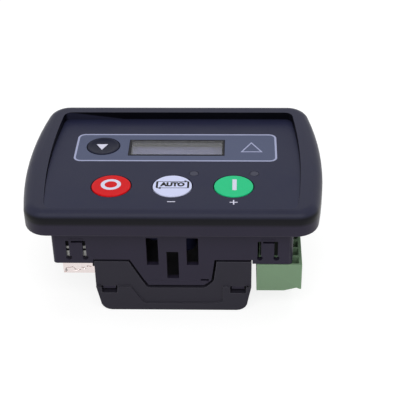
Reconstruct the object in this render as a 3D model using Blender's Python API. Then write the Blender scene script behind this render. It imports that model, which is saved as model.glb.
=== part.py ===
"""Genset controller, lying on its back with the fascia up.

The module drops into a panel cut-out from the front: the bezel flange seats on the panel,
the case goes through it, and two clips hook into the slots of the lower and upper walls.
Frame: the origin is the centre of the rear cover's flat back, +Z runs out through the
fascia, +Y to the top edge of the fascia, +X to the right as the fascia is read.
"""
import math

import bmesh
import bpy
from mathutils import Matrix, Vector

MM = 0.001

# Clearances
SEAT = 0.3 * MM             # between a piece and what carries it
KEY_GAP = 0.3 * MM          # round a key in its hole
FILM_GAP = 0.2 * MM         # round the fascia film in its recess
FIT = 0.4 * MM              # round a board, pane or nose in its opening

# Bezel and its recess
BEZEL_WIDTH = 116.7 * MM
BEZEL_HEIGHT = 78.2 * MM
BEZEL_BOW = 4.6 * MM        # how far the sides bow outwards
BEZEL_WIDEST = -3.1 * MM    # the sides stand widest a little below the middle
BEZEL_CORNER = 9.0 * MM
BEZEL_ROUND = 4.0 * MM      # rounding of the front edge
BACK_ROUND = 0.7 * MM
DEPTH = 51.0 * MM           # back of the cover to the front rim
FLANGE_THICK = 10.5 * MM
FRONT_WALL = 2.4 * MM
RIM_SIDE = 8.6 * MM         # rim between the recess and the bezel's outline
RECESS_BOW = 2.3 * MM
RECESS_CORNER = 3.2 * MM
RIM_TOP = 6.7 * MM
RIM_BOTTOM = 3.9 * MM
RECESS_DEPTH = 3.3 * MM     # at the top edge; the fascia runs out flush at the bottom
FILM_THICK = 0.4 * MM

# Case walls
FLANGE_SIDE = 11.95 * MM    # how far the flange stands out past the case
FLANGE_END = 5.4 * MM
CASE_CORNER = 1.5 * MM
WALL = 2.0 * MM
CASE_DEPTH = 27.7 * MM      # front rim to the rear edge at the two open wings
TONGUE_LEFT = -9.9 * MM
TONGUE_RIGHT = 12.0 * MM
TONGUE_REAR = 12.0 * MM
TONGUE_LEFT_RUN = 6.6 * MM  # sideways run of the long slope
TONGUE_RIGHT_RUN = 4.2 * MM
TONGUE_CHAMFER = 2.9 * MM

# Slots and snap fingers in the lower and upper walls
SLOT_WIDTH = 4.6 * MM
SLOT_LENGTH = 13.2 * MM
SLOT_PITCH = 7.75 * MM
SLOT_DROP = 4.8 * MM        # from the flange to the outer slots
SLOT_MARGIN = 3.8 * MM      # from the middle slot to the tongue's end
FINGER_INSET = 9.5 * MM     # from the case's side to a finger's middle
FINGER_WIDTH = 4.6 * MM
FINGER_SLIT = 1.8 * MM
FINGER_TOP_SLIT = 0.9 * MM
FINGER_ROOT = 2.5 * MM      # from the case's rear edge
FINGER_LENGTH = 8.4 * MM
PRY_WIDTH = 3.2 * MM
PRY_HEIGHT = 1.1 * MM
PRY_INSET = 0.3 * MM        # past the tongue's right corner
PRY_RISE = 2.9 * MM         # above the tongue's end

# Rear cover
COVER_LAP = 1.5 * MM        # the cover's edge rises this far past the case's rear edge
COVER_WALL = 2.0 * MM
COVER_SIDE_WALL = 1.5 * MM
COVER_TAPER = 1.4 * MM      # each side leans in by this much towards the back
COVER_TAPER_Z = 12.2 * MM
COVER_ROUND = 4.4 * MM
STEP_BACK = 0.1 * MM        # from the tongue's end back to the step
STEP_PROUD = 0.7 * MM
STEP_MARGIN = 8.6 * MM      # height of the plain field under the tongue
STEP_SPREAD = 7.2 * MM      # how far that field runs past the tongue's right corner
STEP_BEVEL = 1.3 * MM
LATCH_INSET = 5.2 * MM      # from the cover's side to a window's middle
LATCH_WIDTH = 6.2 * MM
LATCH_HEIGHT = 3.1 * MM
LATCH_ARM = 1.6 * MM
LATCH_PLAY = 0.6 * MM       # each side of an arm in its window
LATCH_ROOT = 5.0 * MM
LATCH_LEAD = 0.9 * MM       # height of the lead-in under a hook

# Keys, measured on the fascia
KEY_DIAMETER = 15.3 * MM
KEY_PITCH = 23.55 * MM
KEY_MARGIN = 15.4 * MM      # from the recess's lower edge up to the row of keys
KEY_PROUD = 0.35 * MM
KEY_EDGE = 0.45 * MM
SCROLL_DIAMETER = 13.1 * MM
SCROLL_RISE = 1.0 * MM      # above the display's middle
KEY_FLANGE = 0.9 * MM       # the retaining flange stands this far past the key's hole
KEY_FLANGE_THICK = 1.2 * MM
PLUNGER_DIAMETER = 3.6 * MM
KEY_TRAVEL = 0.5 * MM

# Display
PANE_WIDTH = 38.4 * MM
PANE_HEIGHT = 12.1 * MM
PANE_THICK = 1.2 * MM
PANE_X = 0.4 * MM
PANE_SHIFT = 1.225 * MM     # below the middle of the field that the keys leave free
PANE_LEDGE = 1.0 * MM
GLASS_SIDE = 0.8 * MM       # how far the glass runs past the pane
GLASS_END = 2.45 * MM
GLASS_THICK = 2.6 * MM
BACKLIGHT_THICK = 3.0 * MM
HOLDER_WALL = 1.3 * MM
STRIP_WIDTH = 2.5 * MM
STRIP_LENGTH = 30.0 * MM
STRIP_RISE = 6.1 * MM

# Indicator lights beside the keys and under the alarm symbol
PIPE_DIAMETER = 3.3 * MM
LIGHT_RISE = 9.2 * MM       # from the row of keys up to the two lights
LIGHT_SIDE = 8.0 * MM       # from a key's centre to its light
ALARM_SIDE = 11.1 * MM      # from the display pane's end to the alarm symbol
LED_HEIGHT = 2.2 * MM

# Main board
BOARD_THICK = 1.6 * MM
BOARD_DEPTH = 17.0 * MM     # front rim to the board's rear face
BOARD_NOTCH_DEPTH = 3.4 * MM
BOSS_INSET = 4.05 * MM      # from the case's inner walls to a boss's middle
BOSS_DIAMETER = 5.4 * MM
PILOT_DIAMETER = 2.2 * MM
SWITCH_SIZE = 6.2 * MM
SWITCH_HEIGHT = 3.7 * MM
STEM_DIAMETER = 3.3 * MM
STEM_PROUD = 1.6 * MM
STEM_SUNK = 1.3 * MM

# Communications socket in the left wing
USB_WIDTH = 12.4 * MM
USB_DEPTH = 11.2 * MM
USB_LENGTH = 17.3 * MM
USB_SIDE = 1.1 * MM         # between the shell and the case wall
USB_SHELL = 0.5 * MM
USB_CHAMFER = 2.2 * MM
USB_BLOCK = 3.0 * MM
USB_TONGUE_LENGTH = 9.0 * MM

# Output connector in the right wing
WAYS = 8
PITCH = 5.08 * MM
PLUG_INSET = 2.0 * MM       # between the cover's side and the plug
PLUG_OVERHANG = 3.8 * MM    # past the case's side
PLUG_HEIGHT = 13.1 * MM
PLUG_END = 0.6 * MM         # end wall beyond the first and last way
PLUG_SLOPE = 1.4 * MM
PLUG_SKIN = 1.3 * MM
CELL_INSET = 0.8 * MM       # from the nose to the cells
CELL_WIDTH = 4.3 * MM
CELL_DEPTH = 9.3 * MM
NOSE_INSET = 2.4 * MM       # from the plug's inner side to its nose
NOSE_WIDTH = 7.6 * MM
NOSE_LENGTH = 7.6 * MM
ENTRY_SIZE = 3.4 * MM
ENTRY_DEPTH = 7.0 * MM
HEADER_WALL = 1.0 * MM
HEADER_FLOOR = 2.2 * MM
NOSE_ROOM = 0.7 * MM        # above the nose in the header

# Sensing header in the left wing
SENSE_WAYS = 4
SENSE_PITCH = 7.62 * MM
SENSE_WIDTH = 10.0 * MM
SENSE_END = 2.96 * MM       # from the case's upper wall to the socket
SENSE_HEIGHT = 10.2 * MM
PIN_SIZE = 1.1 * MM
PIN_LENGTH = 7.2 * MM

# Parts on the board's rear side
CHIP_SIZE = 14.0 * MM
CHIP_HEIGHT = 1.6 * MM
CRYSTAL_WIDTH = 4.6 * MM
CRYSTAL_LENGTH = 11.0 * MM
CRYSTAL_HEIGHT = 3.4 * MM
INDUCTOR_SIZE = 12.0 * MM
INDUCTOR_HEIGHT = 6.2 * MM
RELAY_WIDTH = 15.4 * MM
RELAY_LENGTH = 18.6 * MM
RELAY_HEIGHT = 11.5 * MM
SUPPLY_CAN = 10.0 * MM
SUPPLY_CAN_HEIGHT = 13.0 * MM
FILTER_CAN = 8.0 * MM
FILTER_CAN_HEIGHT = 8.4 * MM
CAN_ROUND = 0.6 * MM
CAN_GROOVE = 2.4 * MM
PART_GAP = 2.4 * MM
PART_ROUND = 0.4 * MM

# Planes and edges that follow from the sizes above
SEAT_Z = DEPTH - FLANGE_THICK
RECESS_WIDTH = BEZEL_WIDTH - 2 * RIM_SIDE
RECESS_TOP = BEZEL_HEIGHT / 2 - RIM_TOP
RECESS_BOTTOM = RIM_BOTTOM - BEZEL_HEIGHT / 2
LIP = FILM_THICK * 0.1
TILT = (RECESS_DEPTH - LIP) / (RECESS_TOP - RECESS_BOTTOM)
CASE_WIDTH = BEZEL_WIDTH - 2 * FLANGE_SIDE
CASE_HEIGHT = BEZEL_HEIGHT - 2 * FLANGE_END
CASE_REAR = DEPTH - CASE_DEPTH
BOARD_REAR = DEPTH - BOARD_DEPTH
BOARD_FRONT = BOARD_REAR + BOARD_THICK
HEADER_WIDTH = NOSE_WIDTH + 2 * (FIT + HEADER_WALL)
WING_WIDTH = WALL + max(USB_SIDE + USB_WIDTH + SEAT,
                        PLUG_INSET + NOSE_INSET - FIT - HEADER_WALL + HEADER_WIDTH + FIT)
COVER_WIDTH = CASE_WIDTH - 2 * WING_WIDTH
COVER_TOP = CASE_REAR + COVER_LAP
STEP_Z = TONGUE_REAR - STEP_BACK
TONGUE_SHOULDER = COVER_TOP + SEAT
KEY_ROW = RECESS_BOTTOM + KEY_MARGIN
PANE_Y = (KEY_ROW + KEY_DIAMETER / 2 + RECESS_TOP) / 2 - PANE_SHIFT
GLASS_WIDTH = PANE_WIDTH + 2 * GLASS_SIDE
GLASS_HEIGHT = PANE_HEIGHT + 2 * GLASS_END
SCROLL_X = (PANE_X - GLASS_WIDTH / 2 - HOLDER_WALL - 2 * FIT
            - KEY_FLANGE - KEY_GAP - SCROLL_DIAMETER / 2)
SCROLL_Y = PANE_Y + SCROLL_RISE
ALARM_X = PANE_X + PANE_WIDTH / 2 + ALARM_SIDE
BOSS_X = CASE_WIDTH / 2 - WALL - BOSS_INSET
BOSS_Y = CASE_HEIGHT / 2 - WALL - BOSS_INSET
FINGER_X = CASE_WIDTH / 2 - FINGER_INSET
FINGER_REAR = CASE_REAR + FINGER_ROOT
LATCH_X = COVER_WIDTH / 2 - LATCH_INSET


def fascia_z(y):
    """Height of the fascia's surface, which sinks towards its top edge."""
    return DEPTH - LIP - TILT * (y - RECESS_BOTTOM)


CEILING = fascia_z(RECESS_TOP) - FILM_THICK - FILM_GAP - FRONT_WALL + 0.6 * MM
SWITCH_TOP = BOARD_FRONT + SEAT + SWITCH_HEIGHT


# Shapes

def oriented(a, b, c, axis):
    """A profile point (a, b) at station c along the axis that the profile is swept on."""
    return {"X": (c, a, b), "Y": (a, c, b), "Z": (a, b, c)}[axis]


def prism(points, low, high, axis="Z"):
    bm = bmesh.new()
    face = bm.faces.new([bm.verts.new(oriented(a, b, low, axis)) for a, b in points])
    swept = bmesh.ops.extrude_face_region(bm, geom=[face])["geom"]
    step = Vector(oriented(0, 0, high - low, axis))
    bmesh.ops.translate(bm, vec=step, verts=[g for g in swept if isinstance(g, bmesh.types.BMVert)])
    bmesh.ops.recalc_face_normals(bm, faces=bm.faces)
    return bm


def block(x, y, z):
    """A box from three (low, high) spans."""
    return prism([(x[0], y[0]), (x[1], y[0]), (x[1], y[1]), (x[0], y[1])], z[0], z[1])


def around(centre, size):
    return centre - size / 2, centre + size / 2


def cylinder(diameter, low, high, x=0.0, y=0.0, sides=40):
    bm = bmesh.new()
    place = Matrix.Translation((x, y, (low + high) / 2))
    bmesh.ops.create_cone(bm, cap_ends=True, segments=sides, radius1=diameter / 2,
                          radius2=diameter / 2, depth=high - low, matrix=place)
    return bm


def turned(profile, sides=48):
    """A solid of revolution about Z from (radius, z) points that start and end on the axis."""
    bm = bmesh.new()
    verts = [bm.verts.new((r, 0, z)) for r, z in profile]
    edges = [bm.edges.new(pair) for pair in zip(verts, verts[1:])]
    bmesh.ops.spin(bm, geom=verts + edges, cent=(0, 0, 0), axis=(0, 0, 1),
                   angle=2 * math.pi, steps=sides, use_merge=True)
    bmesh.ops.remove_doubles(bm, verts=bm.verts, dist=0.00001)
    bmesh.ops.recalc_face_normals(bm, faces=bm.faces)
    return bm


def rounded_rect(width, height, radius, steps=4):
    points = []
    for quarter in range(4):
        sx, sy = ((1, -1), (1, 1), (-1, 1), (-1, -1))[quarter]
        for i in range(steps + 1):
            a = math.pi / 2 * (quarter - 1 + i / steps)
            points.append((sx * (width / 2 - radius) + radius * math.cos(a),
                           sy * (height / 2 - radius) + radius * math.sin(a)))
    return points


def bowed_outline(width, bottom, top, bow, widest, radius, side_steps=10, corner_steps=7):
    """Straight top and bottom edges, sides bowed outwards about one height, and tangent corner arcs."""
    half = (top - bottom) / 2

    def side(y):
        return width / 2 - bow * ((y - widest) / half) ** 2

    def corner(end, way):
        """The arc from an end edge to the side; way is -1 at the bottom and 1 at the top."""
        middle = end - way * radius
        lean = math.atan(2 * bow * abs(middle - widest) / half ** 2)
        centre = side(middle + way * radius * math.sin(lean)) - radius * math.cos(lean)
        turns = [math.pi / 2 - (math.pi / 2 - lean) * i / corner_steps for i in range(corner_steps + 1)]
        return [(centre + radius * math.cos(a), middle + way * radius * math.sin(a)) for a in turns]

    low, high = corner(bottom, -1), corner(top, 1)
    first, last = low[-1][1], high[-1][1]
    rises = [first + (last - first) * i / side_steps for i in range(1, side_steps)]
    right = low + [(side(y), y) for y in rises] + high[::-1]
    return right + [(-x, y) for x, y in reversed(right)]


def offset(points, distance):
    """An anticlockwise outline moved outwards by a distance, with mitred corners."""
    moved = []
    for i, here in enumerate(points):
        a, b, c = Vector(points[i - 1]), Vector(here), Vector(points[(i + 1) % len(points)])
        before, after = (b - a).normalized(), (c - b).normalized()
        n1, n2 = Vector((before.y, -before.x)), Vector((after.y, -after.x))
        moved.append(tuple(b + (n1 + n2) * distance / (1 + n1.dot(n2))))
    return moved


def tilted(bm, above=-1.0):
    """Lean the points above a height so that they run parallel to the fascia."""
    for vert in bm.verts:
        if vert.co.z > above:
            vert.co.z -= TILT * vert.co.y
    return bm


def moved(bm, x=0.0, y=0.0, z=0.0):
    bmesh.ops.translate(bm, vec=(x, y, z), verts=bm.verts)
    return bm


def rounded(bm, edges, width, segments):
    bmesh.ops.bevel(bm, geom=edges, offset=width, segments=segments, profile=0.5,
                    affect="EDGES", material=-1)
    return bm


def edges_at(bm, z):
    return [e for e in bm.edges if all(abs(v.co.z - z) < 1e-6 for v in e.verts)]


# Objects

def finish(name, colour, roughness, metallic=0.0):
    material = bpy.data.materials.new(name)
    material.use_nodes = True
    shader = material.node_tree.nodes["Principled BSDF"]
    linear = [((c / 255 + 0.055) / 1.055) ** 2.4 if c > 10 else c / 255 / 12.92 for c in colour]
    shader.inputs["Base Color"].default_value = (*linear, 1.0)
    shader.inputs["Roughness"].default_value = roughness
    shader.inputs["Metallic"].default_value = metallic
    return material


def mesh_object(name, bm):
    mesh = bpy.data.meshes.new(name)
    bm.to_mesh(mesh)
    bm.free()
    thing = bpy.data.objects.new(name, mesh)
    bpy.context.collection.objects.link(thing)
    return thing


def solid(name, bm, look, at=(0.0, 0.0, 0.0)):
    thing = mesh_object(name, bm)
    thing.location = at
    thing.data.materials.append(finish(name + "_finish", *look))
    thing.data.shade_smooth()
    thing.data.set_sharp_from_angle(angle=math.radians(32))
    return thing


def combine(target, operation, *shapes):
    """Add shapes to a piece, or cut them from it, with one Boolean."""
    whole = bmesh.new()
    for shape in shapes:
        part = bpy.data.meshes.new("shape")
        shape.to_mesh(part)
        shape.free()
        whole.from_mesh(part)
        bpy.data.meshes.remove(part)
    tool = mesh_object("%s_%s_%d" % (target.name, operation.lower(), len(target.modifiers)), whole)
    tool.location = target.location
    tool.hide_render = True
    tool.display_type = "WIRE"
    step = target.modifiers.new(operation.title(), "BOOLEAN")
    step.operation = operation
    step.solver = "EXACT"
    step.object = tool


def cut(target, *shapes):
    combine(target, "DIFFERENCE", *shapes)


def add(target, *shapes):
    combine(target, "UNION", *shapes)


BLACK_ABS = ((57, 56, 62), 0.55)
BLACK_TRIM = ((50, 51, 66), 0.45)
GREEN_PA = ((122, 147, 122), 0.5)
TINNED = ((199, 192, 190), 0.3, 1.0)


# Front case: bezel, walls, bosses and latch arms in one moulding

def tongue_profile():
    """The case wall's rear tongue, as (x, z), anticlockwise and reaching into the wall."""
    top = TONGUE_SHOULDER + WALL
    shoulder = TONGUE_RIGHT + TONGUE_CHAMFER
    return [(TONGUE_LEFT, TONGUE_REAR), (TONGUE_RIGHT, TONGUE_REAR),
            (shoulder, TONGUE_REAR + TONGUE_CHAMFER),
            (TONGUE_RIGHT + TONGUE_RIGHT_RUN, TONGUE_SHOULDER - SEAT),
            (TONGUE_RIGHT + TONGUE_RIGHT_RUN + SEAT, top),
            (TONGUE_LEFT - TONGUE_LEFT_RUN - SEAT, top),
            (TONGUE_LEFT - TONGUE_LEFT_RUN, TONGUE_SHOULDER - SEAT)]


def finger_slit(x):
    """An arch-shaped slit that frees a snap finger on three sides, as (x, z)."""
    inner = FINGER_WIDTH / 2
    outer = inner + FINGER_SLIT
    top = FINGER_REAR + FINGER_LENGTH
    return [(x - outer, FINGER_REAR), (x - inner, FINGER_REAR),
            (x - inner, top - FINGER_TOP_SLIT), (x + inner, top - FINGER_TOP_SLIT),
            (x + inner, FINGER_REAR), (x + outer, FINGER_REAR), (x + outer, top), (x - outer, top)]


def both_walls(profile, inner, outer):
    """A (x, z) profile swept through the lower wall and again through the upper one."""
    return prism(profile, -outer, -inner, "Y"), prism(profile, inner, outer, "Y")


def box_profile(x, z):
    return [(x[0], z[0]), (x[1], z[0]), (x[1], z[1]), (x[0], z[1])]


bezel_points = bowed_outline(BEZEL_WIDTH, -BEZEL_HEIGHT / 2, BEZEL_HEIGHT / 2, BEZEL_BOW, BEZEL_WIDEST,
                             BEZEL_CORNER)
recess_points = bowed_outline(RECESS_WIDTH, RECESS_BOTTOM, RECESS_TOP, RECESS_BOW,
                              (RECESS_BOTTOM + RECESS_TOP) / 2, RECESS_CORNER, corner_steps=4)
KEYS = {"stop": (-KEY_PITCH, KEY_ROW, KEY_DIAMETER), "auto": (0.0, KEY_ROW, KEY_DIAMETER),
        "start": (KEY_PITCH, KEY_ROW, KEY_DIAMETER), "scroll": (SCROLL_X, SCROLL_Y, SCROLL_DIAMETER)}
LIGHTS = {"auto": (LIGHT_SIDE, KEY_ROW + LIGHT_RISE), "start": (KEY_PITCH + LIGHT_SIDE, KEY_ROW + LIGHT_RISE),
          "alarm": (ALARM_X, PANE_Y)}
outer_wall = CASE_HEIGHT / 2
inner_wall = outer_wall - WALL


def build_front_case():
    bezel = prism(bezel_points, SEAT_Z, DEPTH)
    rounded(bezel, edges_at(bezel, DEPTH), BEZEL_ROUND, 6)
    rounded(bezel, edges_at(bezel, SEAT_Z), BACK_ROUND, 2)
    case = solid("front_case", bezel, BLACK_TRIM)

    add(case, prism(rounded_rect(CASE_WIDTH, CASE_HEIGHT, CASE_CORNER), CASE_REAR, SEAT_Z + WALL))
    cut(case, block(around(0, COVER_WIDTH + 2 * SEAT), around(0, CASE_HEIGHT + 2 * WALL),
                    (CASE_REAR - WALL, TONGUE_SHOULDER)))
    hollow = rounded_rect(CASE_WIDTH - 2 * WALL, CASE_HEIGHT - 2 * WALL, CASE_CORNER / 2)
    cut(case, prism(hollow, CASE_REAR - WALL, CEILING))
    add(case, *both_walls(tongue_profile(), inner_wall, outer_wall))

    pillars = [cylinder(BOSS_DIAMETER, BOARD_FRONT + SEAT, CEILING + FRONT_WALL / 2, sx * BOSS_X, sy * BOSS_Y, 24)
               for sx in (-1, 1) for sy in (-1, 1)]
    add(case, *pillars)
    add(case, *latch_arms())

    floor = tilted(prism(recess_points, -FILM_THICK - FILM_GAP, BEZEL_ROUND))
    cut(case, moved(floor, z=fascia_z(0)))
    pane = tilted(block(around(0, PANE_WIDTH + 2 * FIT), around(0, PANE_HEIGHT + 2 * FIT),
                        (-PANE_THICK - SEAT, BEZEL_ROUND)))
    cut(case, moved(pane, PANE_X, PANE_Y, fascia_z(PANE_Y)))
    opening = block(around(PANE_X, PANE_WIDTH - 2 * PANE_LEDGE), around(PANE_Y, PANE_HEIGHT - 2 * PANE_LEDGE),
                    (CEILING - WALL, DEPTH))
    holes = [cylinder(d + 2 * KEY_GAP, CEILING - WALL, DEPTH + WALL, x, y) for x, y, d in KEYS.values()]
    holes += [cylinder(PIPE_DIAMETER + 2 * SEAT, CEILING - WALL, DEPTH + WALL, x, y, 24)
              for x, y in LIGHTS.values()]
    pilots = [cylinder(PILOT_DIAMETER, BOARD_FRONT - WALL, CEILING - WALL, sx * BOSS_X, sy * BOSS_Y, 16)
              for sx in (-1, 1) for sy in (-1, 1)]
    cut(case, opening, *holes, *pilots)

    through = outer_wall + WALL
    slots = []
    for place in (-1, 0, 1):
        rear = TONGUE_REAR + SLOT_MARGIN if place == 0 else SEAT_Z - SLOT_DROP - SLOT_LENGTH
        slots.append(prism(box_profile(around(place * SLOT_PITCH, SLOT_WIDTH), (rear, rear + SLOT_LENGTH)),
                           -through, through, "Y"))
    slots += [prism(finger_slit(side * FINGER_X), -through, through, "Y") for side in (-1, 1)]
    pry = box_profile(around(TONGUE_RIGHT + PRY_INSET, PRY_WIDTH), around(TONGUE_REAR + PRY_RISE, PRY_HEIGHT))
    slots.append(prism(pry, -through, through, "Y"))
    cut(case, *slots)
    return case


def latch_arms():
    """Four arms that reach down inside the cover and hook into its windows, as (y, z) profiles."""
    face = CASE_HEIGHT / 2 - COVER_WALL - SEAT
    hook = face + COVER_WALL - SEAT
    low, high = STEP_Z - LATCH_HEIGHT + SEAT, STEP_Z - SEAT
    root = TONGUE_SHOULDER
    profile = [(face - LATCH_ARM, low), (face, low), (hook, low + LATCH_LEAD), (hook, high), (face, high),
               (face, root + SEAT), (inner_wall + WALL / 2, root + SEAT),
               (inner_wall + WALL / 2, root + LATCH_ROOT), (face - LATCH_ARM, root + LATCH_ROOT - WALL)]
    arms = []
    for side in (-1, 1):
        span = around(side * LATCH_X, LATCH_WIDTH - 2 * LATCH_PLAY)
        for wall in (-1, 1):
            arms.append(prism([(wall * y, z) for y, z in profile], span[0], span[1], "X"))
    return arms


def build_rear_cover():
    def profile(half, rear, top):
        """Half a shell section, mirrored: upright sides that lean in, then round into the back."""
        knee = half - COVER_TAPER
        right = [(half, top), (half, COVER_TAPER_Z)]
        for i in range(6):
            a = math.pi / 2 * i / 5
            right.append((knee - COVER_ROUND + COVER_ROUND * math.cos(a),
                          rear + COVER_ROUND - COVER_ROUND * math.sin(a)))
        return [(-x, z) for x, z in right] + right[::-1]

    half = COVER_WIDTH / 2
    cover = solid("rear_cover", prism(profile(half, 0.0, COVER_TOP), -outer_wall, outer_wall, "Y"), BLACK_ABS)
    proud = outer_wall + STEP_PROUD
    add(cover, prism(profile_to(profile(half, 0.0, COVER_TOP), STEP_Z), -proud, proud, "Y"))
    hollow = profile(half - COVER_SIDE_WALL, COVER_WALL, COVER_TOP + WALL)
    cut(cover, prism(hollow, -inner_wall, inner_wall, "Y"))

    low, right = STEP_Z - STEP_MARGIN, TONGUE_RIGHT + STEP_SPREAD
    slant = TONGUE_LEFT_RUN / (TONGUE_SHOULDER - TONGUE_REAR) * STEP_MARGIN
    left = TONGUE_LEFT - STEP_BEVEL
    field = [(left, low), (right - 2 * STEP_BEVEL, low), (right, low + STEP_BEVEL), (right, STEP_Z + WALL),
             (left - STEP_BEVEL - slant, STEP_Z + WALL), (left - STEP_BEVEL - slant, STEP_Z),
             (left - STEP_BEVEL, low + STEP_BEVEL)]
    cut(cover, *both_walls(field, outer_wall, proud + WALL))
    notch = [p if p[1] < TONGUE_SHOULDER else (p[0], COVER_TOP + WALL) for p in offset(tongue_profile(), SEAT)]
    cut(cover, *both_walls(notch, inner_wall - WALL, proud + WALL))
    windows = []
    for side in (-1, 1):
        window = box_profile(around(side * LATCH_X, LATCH_WIDTH), (STEP_Z - LATCH_HEIGHT, STEP_Z))
        windows += both_walls(window, inner_wall - SEAT, proud + WALL)
    cut(cover, *windows)
    return cover


def profile_to(points, top):
    """The part of a cover section that lies below a height."""
    return [(x, min(z, top)) for x, z in points]


def build_fascia():
    film_points = offset(recess_points, -FILM_GAP)
    film = solid("fascia_overlay", tilted(prism(film_points, -FILM_THICK, 0)), BLACK_TRIM, (0, 0, fascia_z(0)))
    holes = [cylinder(d + 2 * KEY_GAP, -WALL * 2, WALL * 2, x, y) for x, y, d in KEYS.values()]
    holes += [cylinder(PIPE_DIAMETER + 2 * FILM_GAP, -WALL * 2, WALL * 2, *LIGHTS[light], 24)
              for light in ("auto", "start")]
    holes.append(block(around(PANE_X, PANE_WIDTH + 2 * FILM_GAP), around(PANE_Y, PANE_HEIGHT + 2 * FILM_GAP),
                       (-WALL * 2, WALL * 2)))
    cut(film, *holes)
    pane = tilted(block(around(0, PANE_WIDTH), around(0, PANE_HEIGHT), (-PANE_THICK, 0)))
    solid("display_window", pane, ((70, 73, 92), 0.12), (PANE_X, PANE_Y, fascia_z(PANE_Y)))


def build_keys():
    colours = {"stop": (215, 38, 46), "auto": (225, 225, 240), "start": (48, 193, 131), "scroll": (16, 16, 20)}
    for name, (x, y, diameter) in KEYS.items():
        origin = fascia_z(y)
        r = diameter / 2
        flange = r + KEY_GAP + KEY_FLANGE
        flange_top = CEILING - SEAT - origin
        foot = SWITCH_TOP + STEM_PROUD + SEAT - origin
        profile = [(0, foot), (PLUNGER_DIAMETER / 2, foot), (PLUNGER_DIAMETER / 2, flange_top - KEY_FLANGE_THICK),
                   (flange, flange_top - KEY_FLANGE_THICK), (flange, flange_top), (r, flange_top),
                   (r, KEY_PROUD - KEY_EDGE), (r - KEY_EDGE * 0.3, KEY_PROUD - KEY_EDGE * 0.3),
                   (r - KEY_EDGE, KEY_PROUD), (0, KEY_PROUD)]
        if name == "scroll":
            profile[-1:] = [(r - 3 * KEY_EDGE, KEY_PROUD), (r * 0.4, KEY_PROUD - KEY_EDGE), (0, KEY_PROUD - KEY_EDGE)]
        solid(name + "_key", tilted(turned(profile), above=flange_top + SEAT), (colours[name], 0.4), (x, y, origin))

        stem = SWITCH_TOP + (STEM_PROUD - STEM_SUNK) / 2
        solid(name + "_switch_stem", cylinder(STEM_DIAMETER, -(STEM_PROUD + STEM_SUNK) / 2,
              (STEM_PROUD + STEM_SUNK) / 2, sides=24), ((30, 30, 32), 0.5), (x, y, stem))
        body = block(around(0, SWITCH_SIZE), around(0, SWITCH_SIZE), (0, SWITCH_HEIGHT))
        switch = solid(name + "_switch", body, ((70, 70, 74), 0.4), (x, y, BOARD_FRONT + SEAT))
        well = SWITCH_HEIGHT - STEM_SUNK - KEY_TRAVEL - SEAT
        cut(switch, cylinder(STEM_DIAMETER + 2 * SEAT, well, SWITCH_HEIGHT + WALL, sides=24))


def build_lights():
    led_top = BOARD_FRONT + SEAT + LED_HEIGHT
    for name, (x, y) in LIGHTS.items():
        r = PIPE_DIAMETER / 2
        dome = [(0, 0), (r, 0), (r, LED_HEIGHT * 0.5), (r * 0.8, LED_HEIGHT * 0.82), (r * 0.4, LED_HEIGHT * 0.97),
                (0, LED_HEIGHT)]
        solid(name + "_led", turned(dome, 24), ((190, 120, 90), 0.2), (x, y, BOARD_FRONT + SEAT))
        origin = fascia_z(y)
        top = 0.0 if name != "alarm" else -FILM_THICK - FILM_GAP - SEAT
        foot, collar = led_top + SEAT - origin, CEILING - SEAT - origin
        pipe = [(0, foot), (r, foot), (r, collar - KEY_FLANGE), (r + KEY_FLANGE, collar - KEY_FLANGE),
                (r + KEY_FLANGE, collar), (r, collar), (r, top), (0, top)]
        solid(name + "_light_pipe", tilted(turned(pipe, 24), above=collar + SEAT), ((86, 88, 98), 0.3), (x, y, origin))


def build_display():
    top = CEILING - SEAT
    spans = around(PANE_X, GLASS_WIDTH), around(PANE_Y, GLASS_HEIGHT)
    solid("display_glass", block(*spans, (top - GLASS_THICK, top)), ((88, 92, 100), 0.15))
    light_top = top - GLASS_THICK - SEAT
    solid("display_backlight", block(*spans, (light_top - BACKLIGHT_THICK, light_top)), ((225, 225, 220), 0.4))
    outer = GLASS_WIDTH + 2 * (FIT + HOLDER_WALL), GLASS_HEIGHT + 2 * (FIT + HOLDER_WALL)
    holder = solid("display_holder", block(around(PANE_X, outer[0]), around(PANE_Y, outer[1]),
                   (BOARD_FRONT + SEAT, top)), ((36, 36, 40), 0.5))
    cut(holder, block(around(PANE_X, GLASS_WIDTH + 2 * FIT), around(PANE_Y, GLASS_HEIGHT + 2 * FIT),
                      (BOARD_REAR, DEPTH)))
    strip_top = light_top - BACKLIGHT_THICK - SEAT
    solid("display_pin_strip", block(around(PANE_X, STRIP_LENGTH), around(PANE_Y + STRIP_RISE, STRIP_WIDTH),
          (BOARD_FRONT + SEAT, strip_top)), ((28, 28, 30), 0.6))


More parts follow.
